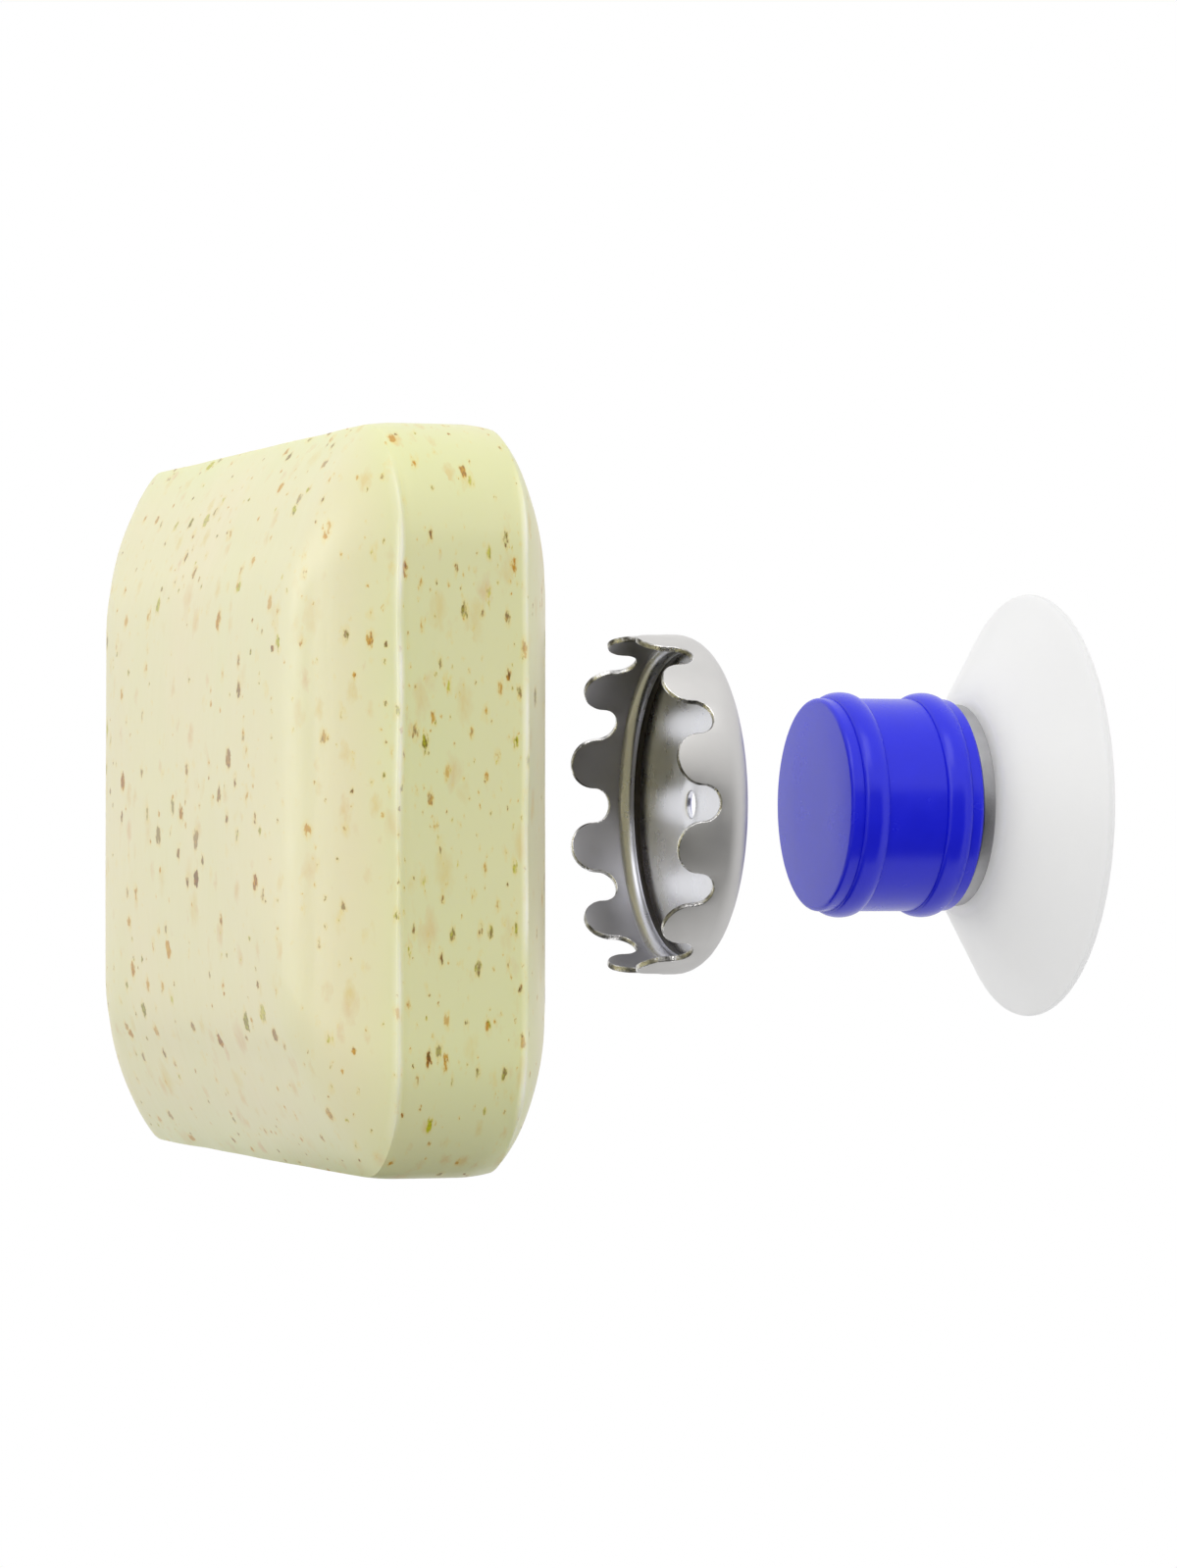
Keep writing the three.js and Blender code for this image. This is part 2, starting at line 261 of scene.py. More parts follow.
def span(node):
    """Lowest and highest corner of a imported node, in millimetres."""
    low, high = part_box(node)
    return low / MM, high / MM


def arc(radius, y, radial, axial, start, end, steps):
    """Points of an elliptic arc in a profile plane. Angle 0 points outwards and 90 degrees to +Y."""
    angles = [math.radians(start + (end - start) * i / steps) for i in range(steps + 1)]
    return [(radius + radial * math.cos(a), y + axial * math.sin(a)) for a in angles]


def fillet(radius, y, size, start, end, steps=ARC_STEPS):
    """Points of a round arc in a profile plane."""
    return arc(radius, y, size, size, start, end, steps)


def around_axis(radius, y, angle):
    """The point at a radius and an angle about the axis."""
    return Vector((radius * math.cos(angle), y, radius * math.sin(angle)))


def add_object(name, data):
    """A new object in the scene."""
    made = bpy.data.objects.new(name, data)
    bpy.context.scene.collection.objects.link(made)
    return made


def ring_mesh(name, rings, closed=False):
    """A mesh through rings of points in millimetres. The rings run towards +Y along the outside, and their
    points go from +X to +Z. A ring of one point is a pole."""
    build = bmesh.new()
    layers = [[build.verts.new(point * MM) for point in ring] for ring in rings]
    pairs = list(zip(layers, layers[1:] + layers[:1]))
    for first, second in pairs if closed else pairs[:-1]:
        for i in range(max(len(first), len(second))):
            corners = [
                first[i % len(first)],
                second[i % len(second)],
                second[(i + 1) % len(second)],
                first[(i + 1) % len(first)],
            ]
            build.faces.new(list(dict.fromkeys(corners)))
    mesh = bpy.data.meshes.new(name)
    build.to_mesh(mesh)
    build.free()
    mesh.shade_smooth()
    mesh.set_sharp_from_angle(angle=math.radians(SHARP_ANGLE))
    return add_object(name, mesh)


def turned(name, profile, closed=False):
    """A profile of (radius, y) points turned about the axis."""
    angles = [2 * math.pi * i / ROUND_COLUMNS for i in range(ROUND_COLUMNS)]
    rings = [
        [around_axis(radius, y, angle) for angle in angles] if radius > 0 else [around_axis(0, y, 0)]
        for radius, y in profile
    ]
    return ring_mesh(name, rings, closed)


def dress(piece, node, slot, *materials):
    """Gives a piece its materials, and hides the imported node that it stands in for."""
    for material in materials:
        piece.data.materials.append(material)
    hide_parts(node)


def face_rise(inset, half_height):
    """How far a soap face stands out of the band at a distance inside the outline."""
    def rise(distance):
        bulge = BEVEL_BULGE * math.sin(math.pi * min(distance / BEVEL_INSET, 1))
        bevel = BEVEL_DEPTH / BEVEL_INSET * distance + bulge
        panel = BEVEL_DEPTH + FACE_CROWN * (1 - (1 - distance / half_height) ** 2)
        return (bevel + panel - math.hypot(bevel - panel, BEVEL_SOFTNESS)) / 2
    return rise(inset) - rise(0)


def bar_corner(inset, half_height):
    """Corner radius of the soap's outline at a distance inside it."""
    if inset < BEVEL_INSET:
        return SOAP_CORNER + (PANEL_CORNER - SOAP_CORNER) * inset / BEVEL_INSET
    return PANEL_CORNER * (half_height - inset) / (half_height - BEVEL_INSET)


def bar_outline(inset, y, half_width, half_height):
    """Outline of the soap at a distance inside it: round corners and straight sides between them."""
    corner = bar_corner(inset, half_height)
    middle_x = half_width - inset - corner
    middle_z = half_height - inset - corner
    counts = [round(2 * half_width / SIDE_STEP), round(2 * half_height / SIDE_STEP)]
    arcs = []
    for quarter, (sign_x, sign_z) in enumerate([(1, 1), (-1, 1), (-1, -1), (1, -1)]):
        middle = Vector((sign_x * middle_x, y, sign_z * middle_z))
        turns = [math.pi / 2 * (quarter + i / CORNER_STEPS) for i in range(CORNER_STEPS + 1)]
        arcs.append([middle + around_axis(corner, 0, turn) for turn in turns])
    points = []
    for quarter, corner_points in enumerate(arcs):
        start = corner_points[-1]
        end = arcs[(quarter + 1) % len(arcs)][0]
        count = counts[quarter % 2]
        points += corner_points
        points += [start.lerp(end, i / count) for i in range(1, count)]
    return points


def ridge_share(x, z, half_width, half_height):
    """How far the parting ridge stands out at a point of the outline: in full along the upright sides, and
    not at all along the top and bottom."""
    across = max(0, abs(x) - half_width + SOAP_CORNER)
    up = max(0, abs(z) - half_height + SOAP_CORNER)
    start, end = RIDGE_FADE
    share = (end - math.degrees(math.atan2(up, across))) / (end - start)
    share = min(max(share, 0), 1)
    return share * share * (3 - 2 * share)


def rounded(inset, distance, reach, depth):
    """A point of the soap's section, moved in from the edge of the band so that the edge is round."""
    from_edge = math.hypot(inset, distance - SOAP_BAND / 2)
    shift = depth * max(0, 1 - from_edge / reach) ** 2
    turn = math.radians(ROUND_TURN)
    return inset + shift * math.cos(turn), distance - shift * math.sin(turn)


def bar_sections(half_height, edge_round):
    """Section of one half of the soap, pole first, as (inset, distance from the middle plane): once with the
    parting ridge and once with a round edge."""
    edge = SOAP_BAND / 2

    def on_face(inset):
        return inset, edge + face_rise(inset, half_height)

    shares = [1 - i / FACE_STEPS for i in range(1, FACE_STEPS)]
    insets = [half_height * share ** FACE_CROWDING for share in shares]
    face = [on_face(inset) for inset in insets if inset > RIDGE_FOOT]
    # From the face over a blunt crest to the band, which lies a ridge's height further in.
    ridge = [
        (RIDGE_HEIGHT * 0.5, edge + RIDGE_HEIGHT),
        (RIDGE_HEIGHT * 0.1, edge + RIDGE_HEIGHT * 0.4),
        (0, edge),
        (RIDGE_HEIGHT * 0.15, edge - RIDGE_HEIGHT * 0.5),
        (RIDGE_HEIGHT * 0.7, edge - RIDGE_FOOT * 0.6),
        (RIDGE_HEIGHT, edge - RIDGE_FOOT),
    ]
    depths = [(edge - RIDGE_FOOT) * (1 - i / BAND_STEPS) for i in range(1, BAND_STEPS + 1)]
    ridged = face + ridge + [(RIDGE_HEIGHT, depth) for depth in depths]
    # As many points without the ridge, so that the two sections can be mixed.
    plain = [*face, on_face(RIDGE_FOOT / 2), on_face(RIDGE_FOOT / 4)]
    plain += [(0, min(distance, edge)) for _, distance in ridge[2:]]
    plain += [(0, depth) for depth in depths]
    return ridged, [rounded(inset, distance, *edge_round) for inset, distance in plain]


def soap_rings(middle, half_width, half_height):
    """Rings of the soap from its front to its back, the ridge fading along each of them."""
    outline = bar_outline(0, 0, half_width, half_height)
    shares = [ridge_share(point.x, point.z, half_width, half_height) for point in outline]

    def rings(side, edge_round):
        made = []
        for with_ridge, with_round in zip(*bar_sections(half_height, edge_round)):
            pair = [
                bar_outline(inset, middle + side * distance, half_width, half_height)
                for inset, distance in (with_round, with_ridge)
            ]
            made.append([plain.lerp(ridged, share) for plain, ridged, share in zip(*pair, shares)])
        return made

    # The back half is turned round, and leaves out the middle ring, which the front half ends with.
    return rings(-1, FRONT_ROUND) + rings(1, BACK_ROUND)[-2::-1]


def soften_soap(piece, middle, half_width, half_height):
    """Marks where the band's painted shade and the ridges' painted highlight go, lets the ridges waver, and
    dents the surface a little, as a pressed bar is."""
    vertices = piece.data.vertices
    normals = [vertex.normal.copy() for vertex in vertices]
    for name in (RIDGE_HIGHLIGHT_MARK, BAND_SHADE_MARK):
        piece.data.attributes.new(name, "FLOAT", "POINT")
    ridge_highlights = piece.data.attributes[RIDGE_HIGHLIGHT_MARK].data
    band_shades = piece.data.attributes[BAND_SHADE_MARK].data
    for vertex, normal, ridge, band_shade in zip(vertices, normals, ridge_highlights, band_shades):
        point = vertex.co / MM
        side = math.copysign(1, point.y - middle)
        on_ridge = Vector((point.x, side * SOAP_BAND, point.z))
        from_ridge = abs(point.y - middle) - SOAP_BAND / 2
        share = ridge_share(point.x, point.z, half_width, half_height)
        # The ridge's pale painted highlight shows by this share, in patches.
        highlight_share = RIDGE_HIGHLIGHT_SHARE + RIDGE_HIGHLIGHT_PATCHES * noise.noise(on_ridge / RIDGE_HIGHLIGHT_PATCH_SIZE)
        ridge.value = highlight_share * share * max(0, 1 - abs(from_ridge) / RIDGE_FOOT)
        # How far the band's painted shade reaches into the faces.
        band_shade.value = min(max(0, 1 - from_ridge / BAND_SHADE_FADE), 1)
        waver = RIDGE_WAVER * noise.noise(on_ridge / RIDGE_WAVE)
        point.y += waver * math.exp(-((from_ridge / RIDGE_REACH) ** 2))
        dent = SOAP_DENT * (0.5 + 0.5 * noise.noise(point / SOAP_DENT_SIZE))
        vertex.co = (point - normal * dent) * MM


def tooth_halves(radius):
    """Half the angle from tooth to tooth, and half the angles of a tip and of a valley."""
    half_pitch = math.pi / TOOTH_COUNT
    tip_half = TOOTH_WIDTH / 2 / radius
    return half_pitch, tip_half, half_pitch - tip_half


def tooth_height(angle, radius):
    """Height of the cap's edge above its valleys at an angle. A valley lies at angle 0."""
    half_pitch, tip_half, valley_half = tooth_halves(radius)
    tip_rise = TOOTH_DEPTH * tip_half / half_pitch
    from_valley = abs(angle - 2 * half_pitch * round(angle / (2 * half_pitch)))
    from_tip = half_pitch - from_valley
    if from_tip < tip_half:
        return TOOTH_DEPTH - tip_rise + tip_rise * math.sqrt(1 - (from_tip / tip_half) ** 2)
    return (TOOTH_DEPTH - tip_rise) * (1 - math.sqrt(max(0, 1 - (from_valley / valley_half) ** 2)))


def tooth_angles(radius):
    """Angles that follow the tips and valleys closely, tooth by tooth."""
    half_pitch, tip_half, valley_half = tooth_halves(radius)
    angles = []
    for tooth in range(TOOTH_COUNT):
        valley = 2 * half_pitch * tooth
        for i in range(VALLEY_STEPS):
            angles.append(valley + valley_half * math.sin(math.pi * (i / VALLEY_STEPS - 0.5)))
        for i in range(TIP_STEPS):
            angles.append(valley + half_pitch + tip_half * math.sin(math.pi * (i / TIP_STEPS - 0.5)))
    return angles


def tooth_marks(cap_radius, back):
    """The room that the cap's teeth take up in the soap when the soap is pressed onto them."""
    spread = CLEARANCE / cap_radius
    valleys = back + VALLEY_GAP
    angles = tooth_angles(cap_radius)

    def base(radius):
        return [around_axis(radius, valleys + CLEARANCE, angle) for angle in angles]

    def edge(radius):
        heights = [
            max(tooth_height(angle + shift, cap_radius) for shift in (-spread, 0, spread))
            for angle in angles
        ]
        return [
            around_axis(radius, valleys - height - CLEARANCE, angle)
            for height, angle in zip(heights, angles)
        ]

    inside = cap_radius - CAP_SHEET - CLEARANCE
    outside = cap_radius + CLEARANCE
    return ring_mesh("tooth_marks", [edge(outside), base(outside), base(inside), edge(inside)], closed=True)


def cut(piece, cutter):
    """Takes the cutter's room out of a piece, and removes the cutter."""
    modifier = piece.modifiers.new("cut", "BOOLEAN")
    modifier.operation = "DIFFERENCE"
    modifier.solver = "EXACT"
    modifier.object = cutter
    evaluated = piece.evaluated_get(bpy.context.evaluated_depsgraph_get())
    mesh = bpy.data.meshes.new_from_object(evaluated)
    piece.modifiers.clear()
    piece.data = mesh
    bpy.data.objects.remove(cutter)
    mesh.set_sharp_from_angle(angle=math.radians(SHARP_ANGLE))


def make_soap():
    """The bar, with the marks of the cap's teeth in its back."""
    low, high = span("soap_bar")
    middle = (low.y + high.y) / 2
    half_width = high.x
    half_height = high.z
    cap_radius = span("steel_cap")[1].x
    poles = [[Vector((0, low.y, 0))], [Vector((0, high.y, 0))]]
    soap = ring_mesh("soap", [poles[0], *soap_rings(middle, half_width, half_height), poles[1]])
    soften_soap(soap, middle, half_width, half_height)
    cut(soap, tooth_marks(cap_radius, high.y))
    dress(soap, "soap_bar", "soap", soap_material())
    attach(soap, "soap")


def cut_edge(radius, depth, angles, valleys, cap_radius):
    """A ring along the cap's toothed edge, moved into the sheet by a depth."""
    outline = [(angle * cap_radius, valleys - tooth_height(angle, cap_radius)) for angle in angles]
    around = 2 * math.pi * cap_radius
    ring = []
    for i, (along, y) in enumerate(outline):
        before = outline[i - 1]
        after = outline[(i + 1) % len(outline)]
        tangent = Vector(((after[0] - before[0]) % around, after[1] - before[1])).normalized()
        ring.append(around_axis(radius, y + depth * tangent.x, (along - depth * tangent.y) / cap_radius))
    return ring


def make_cap():
    """The toothed cap. Its profile runs from the teeth along the outside to the hole, and back inside."""
    low, high = span("steel_cap")
    radius = high.x
    floor = high.y
    valleys = low.y + TOOTH_DEPTH
    inside = radius - CAP_SHEET
    angles = tooth_angles(radius)

    def circle(point):
        return [around_axis(point[0], point[1], angle) for angle in angles]

    def edge(ring_radius, depth):
        return cut_edge(ring_radius, depth, angles, valleys, radius)

    def floor_rings(start, end, y):
        return [(start + (end - start) * i / ARC_STEPS, y) for i in range(1, ARC_STEPS)]

    rounding = fillet(0, 0, CUT_ROUND, 0, 90, CUT_STEPS)
    outer_edge = [edge(radius - CUT_ROUND + r, CUT_ROUND - d) for r, d in reversed(rounding)]
    inner_edge = [edge(inside + CUT_ROUND - r, CUT_ROUND - d) for r, d in rounding]
    corner = fillet(radius - CAP_CORNER, floor - CAP_CORNER, CAP_CORNER, 0, 90)
    undercut = math.radians(BEAD_UNDERCUT)
    bead_foot = inside - BEAD_RADIUS * math.cos(undercut)
    bead_level = floor - CAP_SHEET - BEAD_LIFT - BEAD_RADIUS * math.sin(undercut)
    bead = fillet(inside, bead_level, BEAD_RADIUS, -180 - BEAD_UNDERCUT, -90, 3 * ARC_STEPS)
    hole_round = CAP_HOLE_RADIUS + CUT_ROUND
    hole = fillet(hole_round, floor - CUT_ROUND, CUT_ROUND, 90, 180, CUT_STEPS)
    hole += fillet(hole_round, floor - CAP_SHEET + CUT_ROUND, CUT_ROUND, 180, 270, CUT_STEPS)
    outer_face = [*corner, *floor_rings(radius - CAP_CORNER, CAP_HOLE_RADIUS, floor)]
    inner_face = [
        *hole,
        *floor_rings(CAP_HOLE_RADIUS, bead_foot, floor - CAP_SHEET),
        (bead_foot, floor - CAP_SHEET),
        *bead,
    ]
    faces = [circle(point) for point in outer_face + inner_face]
    cap = ring_mesh("cap", [*outer_edge, *faces, *inner_edge], closed=True)
    outside_row = len(outer_edge) - 1
    floor_row = len(outer_edge) + len(outer_face)
    edge_row = len(outer_edge) + len(faces)
    wall_row = edge_row - 1
    groove_row = wall_row - len(bead)
    bead_row = groove_row + 1 + round(len(bead) * BEAD_UNDERCUT / (BEAD_UNDERCUT + 90))
    starts = [outside_row, floor_row, groove_row, bead_row, wall_row, edge_row]
    # Painted light and shade inside: a lighter floor and bead, a darker wall and a nearly black groove.
    finishes = [
        cut_material(),
        steel_material("cap_outside", CAP_OUTSIDE_COLOUR, roughness=0.57, grain=0.004),
        # Painted light on the floor.
        steel_material("cap_floor_painted_light", CAP_FLOOR_LIT_COLOUR, roughness=0.28, grain=0.002),
        # Painted shade at the bead's foot.
        steel_material("cap_groove_painted_shade", CAP_GROOVE_SHADE_COLOUR, roughness=0.4, grain=0.002),
        # Painted highlight on the bead.
        steel_material("cap_bead_painted_highlight", CAP_BEAD_HIGHLIGHT_COLOUR, roughness=0.28, grain=0.002),
        steel_material("cap_wall_painted_shade", CAP_WALL_SHADED_COLOUR, roughness=0.36, grain=0.002),
    ]
    # The rows after the last start are the cut edge's again.
    for face in cap.data.polygons:
        row = face.index // len(angles)
        face.material_index = sum(row >= start for start in starts) % len(finishes)
    dress(cap, "steel_cap", "cap_steel", *finishes)
    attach(cap, "cap")


def rib_profile(radius, start):
    """A rib that begins at a place along the axis."""
    return arc(radius, start + RIB_WIDTH / 2, RIB_HEIGHT, RIB_WIDTH / 2, -90, 90, 3 * ARC_STEPS)


def make_sleeve():
    """The sleeve, open at its back, where it meets the barrel's flange in a fine seam."""
    low, high = span("protector_sleeve")
    radius = high.x - RIB_HEIGHT
    inside = radius - SLEEVE_WALL
    edge_radius = radius - SLEEVE_EDGE
    back = high.y + CLEARANCE - SEAM
    profile = [
        (0, low.y),
        (edge_radius / 2, low.y),
        *fillet(edge_radius, low.y + SLEEVE_EDGE, SLEEVE_EDGE, -90, 0),
        *rib_profile(radius, low.y + SLEEVE_EDGE + FRONT_STUB),
        *rib_profile(radius, high.y - SLEEVE_EDGE - BACK_STUB - RIB_WIDTH),
        *fillet(edge_radius, back - SLEEVE_EDGE, SLEEVE_EDGE, 0, 90),
        (inside, back),
        (inside, low.y + SLEEVE_FACE),
        (0, low.y + SLEEVE_FACE),
    ]
    sleeve = turned("sleeve", profile)
    dress(sleeve, "protector_sleeve", "sleeve_rubber", sleeve_material())
    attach(sleeve, "holder")


def make_barrel():
    """The pot that holds the magnet and the head of the pin."""
    low, high = span("magnet_barrel")
    magnet_back = span("magnet_disc")[1].y
    radius = span("protector_sleeve")[1].x - RIB_HEIGHT - SLEEVE_WALL - CLEARANCE
    flange = high.x - FLANGE_EDGE
    pocket = radius - BARREL_WALL
    pocket_floor = magnet_back + CLEARANCE
    seat = pocket_floor + HEAD_THICKNESS + 2 * CLEARANCE
    chamber = HEAD_RADIUS + CLEARANCE
    bore = PIN_RADIUS + CLEARANCE
    flange_front = high.y - FLANGE_THICKNESS
    profile = [
        (pocket, low.y),
        (radius, low.y),
        (radius, flange_front),
        *fillet(flange, flange_front + FLANGE_EDGE, FLANGE_EDGE, -90, 0),
        *fillet(flange, high.y - FLANGE_EDGE, FLANGE_EDGE, 0, 90),
        (bore, high.y),
        (bore, seat),
        (chamber, seat),
        (chamber, pocket_floor),
        (pocket, pocket_floor),
    ]
    barrel = turned("barrel", profile, closed=True)
    finish = steel_material("barrel_steel", BARREL_COLOUR, roughness=0.45, grain=0.03, shade=0.4)
    dress(barrel, "magnet_barrel", "barrel_steel", finish)
    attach(barrel, "holder")


def make_cup():
    """The cup, baked in place where the imported part stands."""
    low, high = span("suction_cup")
    lip_radius = high.x - CUP_LIP
    foot_front = low.y + HUB_COVER + CLEARANCE
    foot_back = foot_front + FOOT_THICKNESS
    ceiling = foot_back + CLEARANCE + HUB_COVER
    chamber = FOOT_RADIUS + CLEARANCE
    bore = PIN_RADIUS + CLEARANCE
    lip = fillet(lip_radius, high.y - CUP_LIP, CUP_LIP, -CONE_TURN, 90, 2 * ARC_STEPS)
    profile = [
        (0, foot_back + CLEARANCE),
        (chamber, foot_back + CLEARANCE),
        (chamber, foot_front - CLEARANCE),
        (bore, foot_front - CLEARANCE),
        (bore, low.y),
        *fillet(HUB_RADIUS - HUB_EDGE, low.y + HUB_EDGE, HUB_EDGE, -90, -CONE_TURN),
        *lip,
        (lip_radius - CUP_LAND, high.y),
        (CEILING_RADIUS, ceiling),
        (0, ceiling),
    ]
    cup = turned("cup", profile)
    lip_row = profile.index(lip[0])
    # Painted shade: the lip's rows take a darker grey.
    for face in cup.data.polygons:
        if lip_row <= face.index // ROUND_COLUMNS < lip_row + len(lip):
            face.material_index = 1
    finishes = [cup_material("cup_vinyl", CUP_COLOUR), cup_material("cup_lip_painted_shade", LIP_SHADE_COLOUR)]
    dress(cup, "suction_cup", "cup_vinyl", *finishes)
    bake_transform(cup)


def add_node(tree, kind, inputs, **settings):
    """A shader node with its settings, and its inputs linked or set."""
    made = tree.nodes.new(kind)
    for name, value in settings.items():
        setattr(made, name, value)
    for socket, value in inputs.items():
        if isinstance(value, bpy.types.NodeSocket):
            tree.links.new(value, made.inputs[socket])
        else:
            made.inputs[socket].default_value = value
    return made


def math_node(tree, operation, first, second, clamp=False):
    """The result of a sum on two numbers or sockets."""
    made = add_node(tree, "ShaderNodeMath", {0: first, 1: second}, operation=operation, use_clamp=clamp)
    return made.outputs[0]


def mix_colours(tree, factor, first, second):
    """A mix of two colours, each a socket or (red, green, blue)."""
    colours = [(*value, 1) if isinstance(value, tuple) else value for value in (first, second)]
    made = add_node(tree, "ShaderNodeMix", {0: factor, 6: colours[0], 7: colours[1]}, data_type="RGBA")
    return made.outputs[2]


def remap(tree, field, source=(0, 1), target=(0, 1), clamp=True):
    """A field that runs between two limits, brought to two others."""
    limits = {"From Min": source[0], "From Max": source[1], "To Min": target[0], "To Max": target[1]}
    return add_node(tree, "ShaderNodeMapRange", {"Value": field, **limits}, clamp=clamp).outputs[0]


def grey(level):
    """A grey of a level, as a shader socket takes it."""
    return level, level, level, 1


def shades(colour, share):
    """A darker and a lighter shade of a colour, each a share away from it."""
    return [tuple(level * (1 + side * share) for level in colour) for side in (-1, 1)]


def new_material(name, **values):
    """A material whose shader has these values on its own sockets."""
    material = bpy.data.materials.new(name)
    material.use_nodes = True
    shader = material.node_tree.nodes["Principled BSDF"]
    for socket, value in values.items():
        shader.inputs[socket.replace("_", " ")].default_value = value
    return material, material.node_tree, shader


def object_point(tree, cell, shift=(0, 0, 0)):
    """The surface point in the object's own space, counted in cells of one size or of three, in
    millimetres."""
    sizes = cell if isinstance(cell, tuple) else (cell, cell, cell)
    point = add_node(tree, "ShaderNodeTexCoord", {}).outputs["Object"]
    scale = [1 / MM / size for size in sizes]
    made = add_node(tree, "ShaderNodeMapping", {"Vector": point, "Scale": scale, "Location": shift})
    return made.outputs[0]


def noise_node(tree, point, fineness, detail):
    """Noise with a number of features to each cell."""
    return add_node(tree, "ShaderNodeTexNoise", {"Vector": point, "Scale": fineness, "Detail": detail})


def noise_field(tree, cell, detail=3):
    """Noise from 0 to 1 with features of about a cell's size in millimetres."""
    return noise_node(tree, object_point(tree, cell), 1, detail).outputs[0]


def bump(tree, shader, height, depth):
    """Bends the shader's normal by a height field of a depth in millimetres."""
    made = add_node(tree, "ShaderNodeBump", {"Height": height, "Distance": depth * MM, "Strength": 1})
    tree.links.new(made.outputs[0], shader.inputs["Normal"])


def vary_roughness(tree, shader, field, limits):
    """Drives the shader's roughness between two limits by a field from 0 to 1."""
    tree.links.new(remap(tree, field, target=limits), shader.inputs["Roughness"])


def mottle(tree, shader, field, colours, roughness):
    """Drives the shader's colour and its roughness by one field from 0 to 1."""
    tree.links.new(mix_colours(tree, field, *colours), shader.inputs["Base Color"])
    vary_roughness(tree, shader, field, roughness)


def colour_ramp(tree, number, colours):
    """Evenly spaced colours, picked by a number from 0 to 1."""
    ramp = add_node(tree, "ShaderNodeValToRGB", {0: number})
    elements = ramp.color_ramp.elements
    while len(elements) < len(colours):
        elements.new(0.5)
    for i, colour in enumerate(colours):
        elements[i].position = i / (len(colours) - 1)
        elements[i].color = (*colour, 1)
    return ramp.outputs[0]


def surface_mark(tree, name):
    """A number that the mesh carries at each point of its surface."""
    return add_node(tree, "ShaderNodeAttribute", {}, attribute_name=name).outputs["Fac"]


def flecks(tree, cell, shift, largest, share):
    """Flecks scattered through the soap in loose clusters, in a share of the cells: the depth inside the
    nearest one, and two random numbers for it."""
    point = object_point(tree, cell, shift)
    ragged = noise_node(tree, point, TEAR_FINENESS, detail=3).outputs["Color"]
    reach = (TEAR_REACH, TEAR_REACH, TEAR_REACH)
    torn = add_node(tree, "ShaderNodeVectorMath", {0: ragged, 1: reach, 2: point}, operation="MULTIPLY_ADD")
    cells = add_node(tree, "ShaderNodeTexVoronoi", {"Vector": torn.outputs[0], "Scale": 1})
    chance = add_node(tree, "ShaderNodeSeparateColor", {0: cells.outputs["Color"]})
    size = remap(tree, chance.outputs[0], (1 - share, 1), (0, largest), clamp=False)
    crowd = noise_node(tree, point, CLUSTER_FINENESS, detail=1).outputs[0]
    size = math_node(tree, "MULTIPLY", size, remap(tree, crowd, CLUSTER_EDGE, CLUSTER_SIZES))
    depth = math_node(tree, "SUBTRACT", size, cells.outputs["Distance"])
    return depth, chance.outputs[1], chance.outputs[2]


def cover(tree, colour, layer, depth, reach, blur, opacity):
    """Lays a colour over another on flecks and for a reach around them, with a blurred edge."""
    above = math_node(tree, "SUBTRACT", depth, -reach)
    mask = math_node(tree, "MULTIPLY", above, 1 / blur, clamp=True)
    return mix_colours(tree, math_node(tree, "MULTIPLY", mask, opacity), colour, layer)


def deep_herbs(tree, colour, cell, shift, opacity):
    """Lays blurred flecks over a colour, as those below the surface look."""
    depth, number, _ = flecks(tree, cell, shift, DEEP_LARGEST, DEEP_SHARE)
    herb = colour_ramp(tree, number, DEEP_COLOURS)
    return cover(tree, colour, herb, depth, DEEP_REACH, DEEP_BLUR, opacity)


def surface_herbs(tree, colour, grain, cell, shift, largest, share):
    """Lays grainy flecks over a colour, each with a tint around it."""
    depth, number, choice = flecks(tree, cell, shift, largest, share)
    tint = math_node(tree, "ADD", number, math_node(tree, "SUBTRACT", grain, 0.5))
    herb = colour_ramp(tree, tint, HERB_COLOURS)
    colour = cover(tree, colour, HALO_COLOUR, depth, HALO_REACH, HALO_BLUR, HALO_OPACITY)
    return cover(tree, colour, herb, depth, 0, HERB_BLUR, remap(tree, choice, target=HERB_OPACITY))


